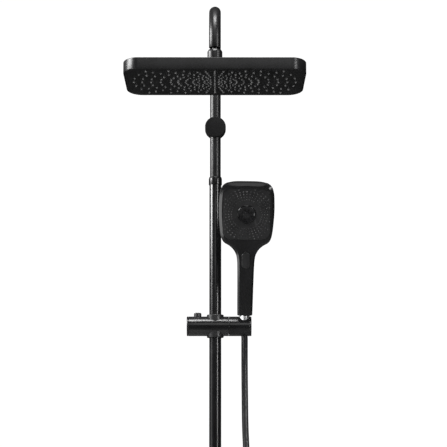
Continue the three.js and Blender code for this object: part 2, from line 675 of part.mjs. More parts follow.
function addInlet(side, label) {
  const inlet = new THREE.Group();
  inlet.position.set(side * INLET_X, 0, MIXER_Z);
  column.add(inlet);
  const bossDistance = -COLUMN_Y - 28.7;
  piece(`wall_union_${label}`, offWall(turned([
    [7, 0], [10.4, 0], [10.4, 23], [11.8, 24], [11.8, bossDistance - 2.7], [7, bossDistance - 2.7],
    [7, 0],
  ])), BRASS, inlet);
  piece(`wall_rosette_${label}`, offWall(turned([
    [11, 0], [31, 0], [31, 5], [27, 10.5], [16, 12], [11, 12], [11, 0],
  ], 24)), MATT_BLACK, inlet);
  piece(`inlet_filter_${label}`, offWall(ring(6.6, 3.6, 14, bossDistance - 4, 16)), STEEL, inlet);
  piece(`inlet_washer_${label}`,
    offWall(ring(11.4, 6.6, bossDistance - 2.4, bossDistance - GAP, 16)), BLACK_RUBBER, inlet);
  const hexagon = rod(17.5, 17, bossDistance + 6, 6);
  const nut = cut(hexagon, rod(12.4, 22.6, 60), rod(10.8, 10, 30));
  piece(`union_nut_${label}`, offWall(nut), MATT_BLACK, inlet);
}

// ---- assembly -------------------------------------------------------------------------------
addWallBracket();
addRiser();
addArm();
addRainHead();
addSlider();
addHandset(addHolder());
addHose();
addMixer();
addInlet(-1, 'left');
addInlet(1, 'right');

export default column;
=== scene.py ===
"""Rainfall shower column: the finished look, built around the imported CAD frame. Metres, +Z up."""

import json
import math

import bmesh
import bpy
from mathutils import Matrix, Vector


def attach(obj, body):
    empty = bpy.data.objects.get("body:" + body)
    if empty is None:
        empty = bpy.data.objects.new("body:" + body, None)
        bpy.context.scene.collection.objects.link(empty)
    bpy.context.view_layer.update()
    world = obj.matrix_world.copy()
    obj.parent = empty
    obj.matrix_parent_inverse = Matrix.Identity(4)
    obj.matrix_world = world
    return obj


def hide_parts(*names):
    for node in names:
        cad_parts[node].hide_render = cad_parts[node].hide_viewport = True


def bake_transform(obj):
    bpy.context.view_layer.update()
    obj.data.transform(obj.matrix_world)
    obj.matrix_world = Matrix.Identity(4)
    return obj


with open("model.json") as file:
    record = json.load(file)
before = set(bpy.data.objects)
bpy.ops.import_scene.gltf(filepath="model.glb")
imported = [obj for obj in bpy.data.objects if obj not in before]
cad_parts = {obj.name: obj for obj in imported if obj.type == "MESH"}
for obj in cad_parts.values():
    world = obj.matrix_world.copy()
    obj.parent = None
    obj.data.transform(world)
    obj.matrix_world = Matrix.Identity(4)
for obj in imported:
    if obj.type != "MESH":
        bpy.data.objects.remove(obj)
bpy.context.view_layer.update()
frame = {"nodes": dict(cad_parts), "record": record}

MM = 0.001
TINY = 1e-6
COLUMN_Y = -0.065
SLIDER = Vector((0, COLUMN_Y, -0.372))
HOLDER_X = 0.054
HOLDER_TILT = math.radians(25)
HANDLE_RISE = 0.0248
HANDSET_LEAN = math.radians(0.8)
MIXER = Vector((0, COLUMN_Y, -1.060))
OUTLET_X = -0.060
INLET_X = 0.075

# Frames that turn what is drawn along Z: away from the wall, toward it, or along X.
OFF_WALL = Matrix.Rotation(math.radians(90), 4, "X")
TOWARD_WALL = Matrix.Rotation(math.radians(-90), 4, "X")
ALONG_X = Matrix.Rotation(math.radians(90), 4, "Y")


def at(x, y, z):
    return Matrix.Translation((x, y, z))


COLUMN = at(0, COLUMN_Y, 0)
SLIDER_FRAME = Matrix.Translation(SLIDER)
HOLDER_FRAME = SLIDER_FRAME @ Matrix.Rotation(HOLDER_TILT, 4, "X")
HANDSET_FRAME = HOLDER_FRAME @ at(HOLDER_X, 0, HANDLE_RISE) @ Matrix.Rotation(HANDSET_LEAN, 4, "Y")
MIXER_FRAME = Matrix.Translation(MIXER)


# ---- camera --------------------------------------------------------------------------------------
def make_camera():
    camera = bpy.data.objects.new("camera", bpy.data.cameras.new("camera"))
    bpy.context.scene.collection.objects.link(camera)
    camera.data.sensor_width = 36
    camera.data.lens = 140.5
    camera.location = (0.009, -3.265, -0.685)
    camera.rotation_euler = (math.radians(90 + 8.96), 0, math.radians(-0.11))
    camera.data.clip_start = 0.05
    camera.data.clip_end = 60
    bpy.context.scene.camera = camera


# ---- mesh helpers --------------------------------------------------------------------------------
def finished(name, vertices, faces, material, body, crease=28):
    """A named piece from points and faces, shaded smooth up to the crease angle, on a body."""
    mesh = bpy.data.meshes.new(name)
    mesh.from_pydata([tuple(v) for v in vertices], [], faces)
    piece = bpy.data.objects.new(name, mesh)
    bpy.context.scene.collection.objects.link(piece)
    clean(piece)
    dress(piece, material, crease)
    if body:
        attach(piece, body)
    return piece


def clean(piece):
    """Merges doubled points and turns every face outwards."""
    work = bmesh.new()
    work.from_mesh(piece.data)
    bmesh.ops.remove_doubles(work, verts=work.verts, dist=TINY)
    bmesh.ops.recalc_face_normals(work, faces=work.faces)
    work.to_mesh(piece.data)
    work.free()


def dress(piece, material, crease=28):
    piece.data.materials.clear()
    piece.data.materials.append(material)
    piece.data.shade_smooth()
    piece.data.set_sharp_from_angle(angle=math.radians(crease))


def applied(piece):
    """Replaces the piece's mesh by what its modifiers make of it."""
    graph = bpy.context.evaluated_depsgraph_get()
    graph.update()
    made = bpy.data.meshes.new_from_object(piece.evaluated_get(graph))
    piece.modifiers.clear()
    piece.data = made


def combine(piece, tools, operation):
    for tool in tools:
        step = piece.modifiers.new("combine", "BOOLEAN")
        step.operation = operation
        step.solver = "EXACT"
        step.object = tool
        applied(piece)
        bpy.data.objects.remove(tool)
    return piece


def carve(piece, *tools):
    return combine(piece, tools, "DIFFERENCE")


def weld(piece, *others):
    return combine(piece, others, "UNION")


def soften(piece, width, crease=28, angle=32, segments=2):
    """Rounds the sharp edges of a carved piece."""
    step = piece.modifiers.new("soften", "BEVEL")
    step.limit_method = "ANGLE"
    step.angle_limit = math.radians(angle)
    step.width = width
    step.segments = segments
    step.use_clamp_overlap = True
    applied(piece)
    dress(piece, piece.data.materials[0], crease)
    return piece


def polar(radius, angle):
    return radius * math.cos(angle), radius * math.sin(angle)


def groove(angle, count, narrow, turn=0.0):
    """1 in the middle of each of a number of grooves round a piece, falling to 0 between them."""
    return max(0.0, math.cos(count * (angle - turn))) ** narrow


def walls(rings, sides, closed=False):
    """Faces between neighbouring rings of points, and from the last ring to the first if closed."""
    faces = []
    for k in range(rings if closed else rings - 1):
        after = (k + 1) % rings
        for i in range(sides):
            j = (i + 1) % sides
            faces.append((k * sides + i, k * sides + j, after * sides + j, after * sides + i))
    return faces


def lids(rings, sides):
    """The faces that close the first and the last ring."""
    top = (rings - 1) * sides
    return [tuple(reversed(range(sides))), tuple(range(top, top + sides))]


def rounded(profile, radius, steps=4):
    """A closed outline with its corners rounded, apart from those on the axis."""
    points = [Vector(p) for p in profile]
    made = []
    for i, corner in enumerate(points):
        before = points[i - 1] - corner
        after = points[(i + 1) % len(points)] - corner
        reach = min(radius, before.length * 0.45, after.length * 0.45)
        if corner.x < TINY or reach < TINY:
            made.append(corner)
            continue
        start = corner + before.normalized() * reach
        end = corner + after.normalized() * reach
        for k in range(steps + 1):
            t = k / steps
            made.append(start * (1 - t) ** 2 + corner * 2 * t * (1 - t) + end * t * t)
    return made


def lathe(name, profile, place, material, body=None,
          sides=96, edge=0.4, flute=None, crease=28):
    """Turned piece: [radius, height] in millimetres, closed on itself or on the axis.

    flute(angle, height) gives a factor for the radius, for grooves and facets.
    """
    points = rounded(profile, edge)
    vertices = []
    for point in points:
        for i in range(sides):
            angle = 2 * math.pi * i / sides
            radius = point.x * (flute(angle, point.y) if flute else 1)
            spot = Vector((*polar(radius, angle), point.y)) * MM
            vertices.append(place @ spot)
    faces = []
    for k in range(len(points)):
        following = (k + 1) % len(points)
        if points[k].x < TINY and points[following].x < TINY:
            continue
        for i in range(sides):
            j = (i + 1) % sides
            faces.append((k * sides + i, k * sides + j, following * sides + j, following * sides + i))
    return finished(name, vertices, faces, material, body, crease)


def rod(radius, low, high, place, sides=64):
    """A plain cylinder that is only used as a cutting tool."""
    profile = [(0, low), (radius, low), (radius, high), (0, high)]
    return lathe("tool", profile, place, MATERIALS["matt_black"], sides=sides, edge=0)


def block(low, high, place):
    """A plain box that is only used as a cutting tool."""
    corners = [(x, y, z) for z in (low[2], high[2]) for y in (low[1], high[1]) for x in (low[0], high[0])]
    vertices = [place @ (Vector(corner) * MM) for corner in corners]
    faces = [(0, 2, 3, 1), (4, 5, 7, 6), (0, 1, 5, 4), (2, 6, 7, 3), (0, 4, 6, 2), (1, 3, 7, 5)]
    return finished("tool", vertices, faces, MATERIALS["matt_black"], None)


def outline(width, depth, corner_x, corner_y, steps=12):
    """Rectangle with elliptical corners, in millimetres, anticlockwise."""
    points = []
    x, y = width / 2 - corner_x, depth / 2 - corner_y
    for quarter, (sx, sy) in enumerate(((1, 1), (-1, 1), (-1, -1), (1, -1))):
        for k in range(steps + 1):
            angle = (quarter + k / steps) * math.pi / 2
            points.append((sx * x + corner_x * math.cos(angle), sy * y + corner_y * math.sin(angle)))
    return points


def stacked(name, rings, place, material, body=None, crease=28):
    """Skin through rings of the same number of points, with a lid at each end."""
    count = len(rings[0])
    vertices = [place @ (Vector(point) * MM) for ring in rings for point in ring]
    faces = walls(len(rings), count) + lids(len(rings), count)
    return finished(name, vertices, faces, material, body, crease)


def plate(name, make_outline, profile, place, material, body=None, crease=28):
    """Plate whose rim follows a profile of (inset, height) points."""
    rings = [[(x, y, height) for x, y in make_outline(inset)] for inset, height in profile]
    return stacked(name, rings, place, material, body, crease)


def rim(low, high, radius, steps=4):
    """Profile for plate(): straight sides with both edges rounded."""
    arc = [math.pi / 2 * k / steps for k in range(steps + 1)]
    lower = [(radius * (1 - math.sin(a)), low + radius * (1 - math.cos(a))) for a in arc]
    upper = [(radius * (1 - math.cos(a)), high - radius * (1 - math.sin(a))) for a in arc]
    return lower + upper


def tube(name, route, radius, material, body=None, bore=0, sides=40, round_end=0.4):
    """Tube along points in metres, hollow if it has a bore, with its end edges rounded."""
    tangents = []
    for i in range(len(route)):
        ahead = route[min(i + 1, len(route) - 1)] - route[max(i - 1, 0)]
        tangents.append(ahead.normalized())
    across = Vector((1, 0, 0))
    across = (across - tangents[0] * across.dot(tangents[0])).normalized()
    frames = []
    for point, tangent in zip(route, tangents):
        across = (across - tangent * across.dot(tangent)).normalized()
        frames.append((point, tangent, across, tangent.cross(across)))

    def ring(entry, size, along=0.0):
        point, tangent, side, up = entry
        centre = point + tangent * along * MM
        turn = [2 * math.pi * i / sides for i in range(sides)]
        return [centre + (side * math.cos(a) + up * math.sin(a)) * size * MM for a in turn]

    shoulder = round_end * 0.3
    rings = [ring(frames[0], radius - round_end)]
    rings += [ring(frames[0], radius - shoulder, shoulder)]
    rings += [ring(frames[0], radius, round_end)]
    rings += [ring(entry, radius) for entry in frames[1:-1]]
    rings += [ring(frames[-1], radius, -round_end)]
    rings += [ring(frames[-1], radius - shoulder, -shoulder)]
    rings += [ring(frames[-1], radius - round_end)]
    if bore:
        rings += [ring(entry, bore) for entry in reversed(frames)]
    vertices = [point for each in rings for point in each]
    faces = walls(len(rings), sides, closed=bool(bore))
    if not bore:
        faces += lids(len(rings), sides)
    return finished(name, vertices, faces, material, body)


# ---- materials -----------------------------------------------------------------------------------
class Nodes:
    """A material under construction: its shader, and short ways to add nodes to it."""

    def __init__(self, name, colour, roughness, metallic=0.0):
        self.material = bpy.data.materials.new(name)
        self.material.use_nodes = True
        self.tree = self.material.node_tree
        self.shader = self.tree.nodes["Principled BSDF"]
        self.shader.inputs["Base Color"].default_value = (*colour, 1)
        self.shader.inputs["Roughness"].default_value = roughness
        self.shader.inputs["Metallic"].default_value = metallic
        self.place = self.tree.nodes.new("ShaderNodeTexCoord").outputs["Object"]
        self.base = None
        self.height = None

    def noise(self, scale, detail=3.0, stretch=None):
        where = self.place
        if stretch:
            mapping = self.tree.nodes.new("ShaderNodeMapping")
            mapping.inputs["Scale"].default_value = stretch
            self.tree.links.new(where, mapping.inputs["Vector"])
            where = mapping.outputs["Vector"]
        texture = self.tree.nodes.new("ShaderNodeTexNoise")
        texture.inputs["Scale"].default_value = scale
        texture.inputs["Detail"].default_value = detail
        self.tree.links.new(where, texture.inputs["Vector"])
        return texture.outputs["Fac"]

    def ranged(self, value, low, high, start=0.3, stop=0.7):
        step = self.tree.nodes.new("ShaderNodeMapRange")
        step.inputs["From Min"].default_value = start
        step.inputs["From Max"].default_value = stop
        step.inputs["To Min"].default_value = low
        step.inputs["To Max"].default_value = high
        self.tree.links.new(value, step.inputs["Value"])
        return step.outputs["Result"]

    def roughness(self, value, low, high):
        self.tree.links.new(self.ranged(value, low, high), self.shader.inputs["Roughness"])
        return self

    def colour(self, value, first, second, start=0.35, stop=0.65):
        """Runs the base colour from first to second as the value rises."""
        ramp = self.tree.nodes.new("ShaderNodeValToRGB")
        ramp.color_ramp.elements[0].position = start
        ramp.color_ramp.elements[1].position = stop
        ramp.color_ramp.elements[0].color = (*first, 1)
        ramp.color_ramp.elements[1].color = (*second, 1)
        self.tree.links.new(value, ramp.inputs["Fac"])
        self.base = ramp.outputs["Color"]
        self.tree.links.new(self.base, self.shader.inputs["Base Color"])
        return self

    def painted_edge_highlight(self, highlight_tint, strength):
        """Painted highlight: lightens sharp outer edges, standing in for the glints on them. It comes
        after colour().
        """
        edges = self.tree.nodes.new("ShaderNodeNewGeometry").outputs["Pointiness"]
        highlight_amount = self.ranged(edges, 0, strength, 0.53, 0.62)
        mix = self.tree.nodes.new("ShaderNodeMix")
        mix.data_type = "RGBA"
        mix.inputs["B"].default_value = (*highlight_tint, 1)
        self.tree.links.new(highlight_amount, mix.inputs["Factor"])
        self.tree.links.new(self.base, mix.inputs["A"])
        self.tree.links.new(mix.outputs["Result"], self.shader.inputs["Base Color"])
        return self

    def bump(self, value, strength, depth):
        step = self.tree.nodes.new("ShaderNodeBump")
        step.inputs["Strength"].default_value = strength
        step.inputs["Distance"].default_value = depth
        self.tree.links.new(value, step.inputs["Height"])
        if self.height:
            self.tree.links.new(self.height, step.inputs["Normal"])
        self.height = step.outputs["Normal"]
        self.tree.links.new(self.height, self.shader.inputs["Normal"])
        return self

    def set(self, **values):
        for socket, value in values.items():
            self.shader.inputs[socket.replace("_", " ")].default_value = value
        return self


def matt_black():
    """Satin powder coat: faint orange peel, cloudy gloss, and a painted highlight on the edges."""
    made = Nodes("matt_black", (0.015, 0.015, 0.016), 0.3)
    made.colour(made.noise(22, 4), (0.004, 0.004, 0.0043), (0.0075, 0.0075, 0.008))
    # Painted highlight: sharp outer edges lightened towards grey.
    made.painted_edge_highlight((0.03, 0.03, 0.031), 0.4)
    made.roughness(made.noise(60, 3), 0.19, 0.23)
    made.bump(made.noise(1500, 2), 0.02, 0.000004).bump(made.noise(40, 2), 0.02, 0.00004)
    return made.set(Specular_IOR_Level=0.5).material


def fine_texture():
    """The same coat with a dry, finely textured face."""
    made = Nodes("fine_texture", (0.006, 0.006, 0.0065), 0.42)
    made.colour(made.noise(30, 4), (0.003, 0.003, 0.0032), (0.006, 0.006, 0.0064))
    # Painted highlight: sharp outer edges lightened towards grey.
    made.painted_edge_highlight((0.02, 0.02, 0.021), 0.3)
    made.roughness(made.noise(200, 4), 0.4, 0.5)
    made.bump(made.noise(2200, 3), 0.1, 0.00002)
    return made.set(Specular_IOR_Level=0.2).material


def satin_coat():
    """The coat where it was sprayed over a bend or a casting: softer, wider highlights."""
    made = Nodes("satin_coat", (0.006, 0.006, 0.0065), 0.36)
    made.colour(made.noise(26, 4), (0.004, 0.004, 0.0043), (0.008, 0.008, 0.0085))
    # Painted highlight: sharp outer edges lightened towards grey.
    made.painted_edge_highlight((0.025, 0.025, 0.026), 0.35)
    made.roughness(made.noise(50, 3), 0.33, 0.39)
    made.bump(made.noise(900, 2), 0.03, 0.00001)
    return made.set(Specular_IOR_Level=0.42).material


def black_plastic():
    """Moulded plastic with a fine spark-eroded grain."""
    made = Nodes("black_plastic", (0.018, 0.018, 0.019), 0.42)
    made.colour(made.noise(40, 4), (0.009, 0.009, 0.0095), (0.015, 0.015, 0.0155))
    # Painted highlight: sharp outer edges lightened towards grey.
    made.painted_edge_highlight((0.04, 0.04, 0.042), 0.4)
    made.roughness(made.noise(300, 4), 0.3, 0.4)
    made.bump(made.noise(3200, 2), 0.12, 0.00003)
    return made.material


def gloss_plastic():
    """Polished moulding of the spray disc."""
    made = Nodes("gloss_plastic", (0.006, 0.006, 0.007), 0.12)
    made.colour(made.noise(60, 3), (0.004, 0.004, 0.0045), (0.009, 0.009, 0.0095))
    # Painted highlight: sharp outer edges lightened towards grey.
    made.painted_edge_highlight((0.05, 0.05, 0.052), 0.5)
    made.roughness(made.noise(240, 4), 0.08, 0.18)
    made.bump(made.noise(700, 2), 0.04, 0.00003)
    return made.material


def black_rubber():
    made = Nodes("black_rubber", (0.02, 0.02, 0.02), 0.75)
    made.colour(made.noise(80, 5), (0.014, 0.014, 0.014), (0.028, 0.028, 0.027))
    made.roughness(made.noise(500, 4), 0.66, 0.86)
    made.bump(made.noise(1800, 4), 0.4, 0.0001)
    return made.material


def hose_cover():
    """Smooth extruded sleeve: soft sheen with a slow ripple along its length."""
    made = Nodes("hose_cover", (0.03, 0.03, 0.032), 0.36)
    made.colour(made.noise(30, 3), (0.012, 0.012, 0.013), (0.018, 0.018, 0.019))
    made.roughness(made.noise(140, 4), 0.3, 0.4)
    made.bump(made.noise(90, 2), 0.06, 0.0002).bump(made.noise(1400, 2), 0.05, 0.00003)
    return made.set(Coat_Weight=0.15, Coat_Roughness=0.25).material


def chrome():
    made = Nodes("chrome", (0.86, 0.87, 0.88), 0.1, 1)
    made.colour(made.noise(45, 3), (0.82, 0.83, 0.84), (0.9, 0.9, 0.91))
    made.roughness(made.noise(220, 5), 0.06, 0.15)
    made.bump(made.noise(900, 3), 0.05, 0.00004)
    return made.material


def brass():
    """Turned brass: lathe rings across the length, slight tarnish."""
    made = Nodes("brass", (0.55, 0.38, 0.15), 0.32, 1)
    made.colour(made.noise(120, 5), (0.42, 0.27, 0.10), (0.62, 0.44, 0.19))
    made.roughness(made.noise(400, 4), 0.24, 0.44)
    made.bump(made.noise(900, 2, stretch=(0.2, 0.2, 4)), 0.2, 0.00006)
    return made.material


def steel():
    made = Nodes("steel", (0.52, 0.53, 0.54), 0.28, 1)
    made.colour(made.noise(150, 4), (0.45, 0.46, 0.47), (0.6, 0.6, 0.61))
    made.roughness(made.noise(500, 4), 0.2, 0.36)
    made.bump(made.noise(1200, 2, stretch=(3, 0.3, 0.3)), 0.15, 0.00005)
    return made.material


def white_nylon():
    made = Nodes("white_nylon", (0.76, 0.75, 0.71), 0.48)
    made.colour(made.noise(90, 4), (0.70, 0.69, 0.64), (0.8, 0.79, 0.76))
    made.roughness(made.noise(400, 3), 0.4, 0.56)
    made.bump(made.noise(2000, 2), 0.15, 0.00006)
    return made.material


def grey_silicone():
    """Nozzle silicone, with a dusting of limescale on some of the tips."""
    made = Nodes("grey_silicone", (0.12, 0.12, 0.122), 0.5)
    made.colour(made.noise(55, 5), (0.10, 0.10, 0.102), (0.19, 0.19, 0.188), 0.4, 0.75)
    made.roughness(made.noise(600, 3), 0.42, 0.6)
    made.bump(made.noise(2500, 2), 0.2, 0.00005)
    return made.material


def dark_silicone():
    """The hand shower's nozzles, darker and a little glossier."""
    made = Nodes("dark_silicone", (0.045, 0.045, 0.046), 0.38)
    made.colour(made.noise(45, 5), (0.02, 0.02, 0.0205), (0.11, 0.11, 0.11), 0.45, 0.72)
    made.roughness(made.noise(600, 3), 0.3, 0.46)
    made.bump(made.noise(2500, 2), 0.15, 0.00005)
    return made.material


def pale_floor():
    made = Nodes("pale_floor", (0.8, 0.8, 0.8), 0.6)
    made.colour(made.noise(3, 3), (0.78, 0.78, 0.78), (0.82, 0.82, 0.82))
    return made.material


MAKERS = (matt_black, fine_texture, satin_coat, black_plastic, gloss_plastic, black_rubber, hose_cover,
          chrome, brass, steel, white_nylon, grey_silicone, dark_silicone)
MATERIALS = {maker.__name__: maker() for maker in MAKERS}


# ---- stage ---------------------------------------------------------------------------------------
# Where the reflected ray goes, from 0 straight down to 1 straight up, and how bright it is there.
MIRRORED = ((0.12, 0.27), (0.34, 0.012), (0.7, 0.02), (0.95, 0.1))


def make_world():
    """White behind the object; for reflections a dark room over a paler floor."""
    world = bpy.data.worlds.new("studio")
    bpy.context.scene.world = world
    world.use_nodes = True
    tree = world.node_tree
    tree.nodes.clear()
    new, link = tree.nodes.new, tree.links.new

    def background(strength):
        shade = new("ShaderNodeBackground")
        shade.inputs["Color"].default_value = (1, 1, 1, 1)
        shade.inputs["Strength"].default_value = strength
        return shade

    seen, soft, mirrored = background(1.05), background(0.45), background(1)
    direction = new("ShaderNodeTexCoord").outputs["Generated"]
    split = new("ShaderNodeSeparateXYZ")
    link(direction, split.inputs["Vector"])
    ramp = new("ShaderNodeValToRGB")
    stops = ramp.color_ramp.elements
    for i, (position, grey) in enumerate(MIRRORED):
        stop = stops[i] if i < 2 else stops.new(position)
        stop.position = position
        stop.color = (grey, grey, grey, 1)
    height = new("ShaderNodeMapRange")
    height.inputs["From Min"].default_value = -1
    link(split.outputs["Z"], height.inputs["Value"])
    link(height.outputs["Result"], ramp.inputs["Fac"])
    link(ramp.outputs["Color"], mirrored.inputs["Color"])

    path = new("ShaderNodeLightPath")
    bounced, shown = new("ShaderNodeMixShader"), new("ShaderNodeMixShader")
    out = new("ShaderNodeOutputWorld")
    link(path.outputs["Is Glossy Ray"], bounced.inputs["Fac"])
    link(soft.outputs["Background"], bounced.inputs[1])
    link(mirrored.outputs["Background"], bounced.inputs[2])
    link(path.outputs["Is Camera Ray"], shown.inputs["Fac"])
    link(bounced.outputs["Shader"], shown.inputs[1])
    link(seen.outputs["Background"], shown.inputs[2])
    link(shown.outputs["Shader"], out.inputs["Surface"])
    bpy.context.scene.view_settings.view_transform = "Standard"


def softbox(name, location, target, width, height, power):
    light = bpy.data.objects.new(name, bpy.data.lights.new(name, "AREA"))
    bpy.context.scene.collection.objects.link(light)
    light.data.shape = "RECTANGLE"
    light.data.size = width
    light.data.size_y = height
    light.data.energy = power
    light.location = location
    light.rotation_euler = (Vector(target) - Vector(location)).to_track_quat("-Z", "Y").to_euler()
    light.visible_camera = False


def make_lights():
    softbox("left_softbox", (-2.3, -0.45, 0.82), (0, -0.1, 0.25), 1.5, 1.0, 108)
    softbox("left_low", (-2.4, -0.5, -0.6), (0, -0.1, -0.5), 1.2, 1.7, 7)
    softbox("right_strip", (1.9, -2.0, 0.4), (0, -0.1, -0.1), 0.3, 2.0, 32)
    softbox("overhead", (0, -1.0, 1.9), (0, -0.25, -0.2), 1.2, 0.8, 58)
    softbox("front_fill", (0.1, -3.6, 1.15), (0, -0.2, 0), 1.6, 1.3, 9)
    softbox("floor_bounce", (-1.6, -0.95, -1.15), (0.05, -0.15, -0.2), 1.0, 0.8, 9)


def make_floor():
    half, level = 14.0, -1.62
    corners = [(-half, -half, level), (half, -half, level), (half, half, level), (-half, half, level)]
    mesh = bpy.data.meshes.new("floor")
    mesh.from_pydata(corners, [], [(0, 1, 2, 3)])
    floor = bpy.data.objects.new("floor", mesh)
    bpy.context.scene.collection.objects.link(floor)
    floor.data.materials.append(pale_floor())
    floor.visible_glossy = False


# ---- hose ----------------------------------------------------------------------------------------
HOSE_RADIUS = 6
NECK_Z = -0.413
NUT_END = -38
HOSE_ROUTE = [
    (-0.060, -0.065, -1.111),
    (-0.060, -0.065, -1.160),
    (-0.060, -0.066, -1.230),
    (-0.057, -0.068, -1.300),
    (-0.036, -0.077, -1.362),
    (0.003, -0.096, -1.397),
    (0.052, -0.120, -1.397),
    (0.091, -0.138, -1.362),
    (0.109, -0.146, -1.300),
    (0.112, -0.146, -1.200),
    (0.110, -0.143, -1.090),
    (0.102, -0.135, -0.980),
    (0.089, -0.119, -0.870),
    (0.074, -0.099, -0.760),
    (0.061, -0.076, -0.660),
    (0.0555, -0.058, -0.570),
    (0.0543, -0.0495, -0.490),
    (0.054, -0.048, -0.435),
    (0.054, -0.0575, -0.3878),
]


def centripetal(points, steps=14):
    """Points along the centripetal Catmull-Rom curve through the given ones."""
    known = [Vector(p) for p in points]
    known = [known[0] * 2 - known[1]] + known + [known[-1] * 2 - known[-2]]
    made = []
    for k in range(1, len(known) - 2):
        p0, p1, p2, p3 = known[k - 1:k + 3]
        t1 = (p1 - p0).length ** 0.5
        t2 = t1 + (p2 - p1).length ** 0.5
        t3 = t2 + (p3 - p2).length ** 0.5
        for i in range(steps):
            t = t1 + (t2 - t1) * i / steps
            a1 = p0 * (1 - t / t1) + p1 * (t / t1)
            a2 = p1 * ((t2 - t) / (t2 - t1)) + p2 * ((t - t1) / (t2 - t1))
            a3 = p2 * ((t3 - t) / (t3 - t2)) + p3 * ((t - t2) / (t3 - t2))
            b1 = a1 * ((t2 - t) / t2) + a2 * (t / t2)
            b2 = a2 * ((t3 - t) / (t3 - t1)) + a3 * ((t - t1) / (t3 - t1))
            made.append(b1 * ((t2 - t) / (t2 - t1)) + b2 * ((t - t1) / (t2 - t1)))
    made.append(known[-2])
    return made


def make_hose():
    """The hose hangs in one loop.

    Its last stretch runs to the cone nut, and what is inside the cone nut lies along the hand shower.
    """
    route = centripetal(HOSE_ROUTE)
    split = next(i for i, point in enumerate(route) if point.z > NECK_Z)
    cover = MATERIALS["hose_cover"]
    hose = tube("shower_hose", route[:split + 1], HOSE_RADIUS, cover, round_end=0.02)
    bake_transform(hose)

    into_nut = HANDSET_FRAME @ (Vector((0, 0, NUT_END)) * MM)
    neck_route = route[split:-2] + [into_nut]
    neck = tube("shower_hose_neck", neck_route, HOSE_RADIUS, cover, round_end=0.02)
    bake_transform(neck)

    inside_route = [HANDSET_FRAME @ (Vector((0, 0, NUT_END + 2 * k)) * MM) for k in range(11)]
    inside = tube("shower_hose_end", inside_route, HOSE_RADIUS, cover, round_end=0.02)
    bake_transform(inside)

    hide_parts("hose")

    def grip(angle, z):
        return 1 - 0.05 * groove(angle, 18, 3) * (-10 < z < 6)

    nut = lathe("hose_nut", [
        (6.6, -14), (9.4, -14), (11.4, -11), (11.4, 8), (9.9, 8), (9.9, -3), (6.6, -3),
    ], at(OUTLET_X, COLUMN_Y, MIXER.z - 0.038), MATERIALS["matt_black"], "column",
        flute=grip, sides=216)
    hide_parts("lower_hose_nut")


# ---- wall bracket and riser ----------------------------------------------------------------------
def make_bracket():
    black = MATERIALS["matt_black"]
    barrel, barrel_end, front = 19.5, 53.2, 77
    bracket = lathe("bracket_barrel", [
        (7.7, 1), (9, 1), (9, 47), (10.2, 51.6), (13, barrel_end), (barrel, barrel_end),
        (barrel, front), (0, front), (0, 20.4), (7.7, 20.4),
    ], OFF_WALL, black, "column", edge=0.7)
    arm_hole = rod(10.45, -30, 30, COLUMN)
    grub_hole = rod(2.6, 5, 30, COLUMN @ ALONG_X, sides=32)
    stem_hole = rod(2.2, -12, -5, at(0, -0.0085, 0), sides=32)
    carve(bracket, arm_hole, grub_hole, stem_hole)
    soften(bracket, 0.35 * MM, angle=40)
    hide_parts("wall_bracket")
    cap = lathe("bracket_front_cap", [
        (0, front + 0.3), (barrel, front + 0.3), (barrel, front + 1.6), (barrel - 1, front + 2.6),
        (0, front + 2.6),
    ], OFF_WALL, MATERIALS["fine_texture"], "column", sides=144, edge=0.25, crease=20)
    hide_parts("bracket_cap")


def make_riser():
    black = MATERIALS["matt_black"]
    boss_top, top = -1032, -97.5
    riser = lathe("riser_pipe", [(10.4, boss_top + 3), (11, boss_top + 3), (11, top), (10.4, top)],
                  COLUMN, black, "column", edge=0.2)
    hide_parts("riser_tube")
    collar = lathe("riser_collar", [
        (11.4, -107.9), (12.25, -107.9), (12.25, -96.9), (11.25, -93.4), (10.4, -93.4),
        (10.4, -94.9), (11.4, -94.9),
    ], COLUMN, black, "column", edge=0.3)
    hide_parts("telescope_collar")

    def grip(angle, z):
        return 1 - 0.025 * groove(angle, 16, 4) * (boss_top - 3 < z < boss_top + 11)

    nut = lathe("riser_union_nut", [
        (12.5, boss_top - 5.4), (15.5, boss_top - 5.4), (15.5, boss_top + 14), (13.5, boss_top + 17),
        (11.4, boss_top + 17), (11.4, boss_top + 9.6), (12.5, boss_top + 8.6),
    ], COLUMN, black, "column", edge=0.6, sides=192, flute=grip)
    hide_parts("riser_nut")


# ---- overhead arm --------------------------------------------------------------------------------
ARM_RADIUS = 10
ARM_TOP = 142
ARM_REACH = 340
REAR_BEND = 80
FRONT_BEND = 60
LEG_BOTTOM = -360
ARM_END = 66
HEAD = at(0, COLUMN_Y - ARM_REACH * MM, 0)
BALL_Z = 48
BALL_RADIUS = 8.5


def arm_route(bend_steps=28):
    points = [(0, 0, LEG_BOTTOM), (0, 0, 0)]
    for k in range(bend_steps + 1):
        angle = math.pi / 2 * k / bend_steps
        points.append((0, -REAR_BEND * (1 - math.cos(angle)),
                       ARM_TOP - REAR_BEND * (1 - math.sin(angle))))
    for k in range(bend_steps + 1):
        angle = math.pi / 2 * k / bend_steps
        points.append((0, -ARM_REACH + FRONT_BEND * (1 - math.sin(angle)),
                       ARM_TOP - FRONT_BEND * (1 - math.cos(angle))))
    points.append((0, -ARM_REACH, ARM_END))
    return [COLUMN @ (Vector(point) * MM) for point in points]


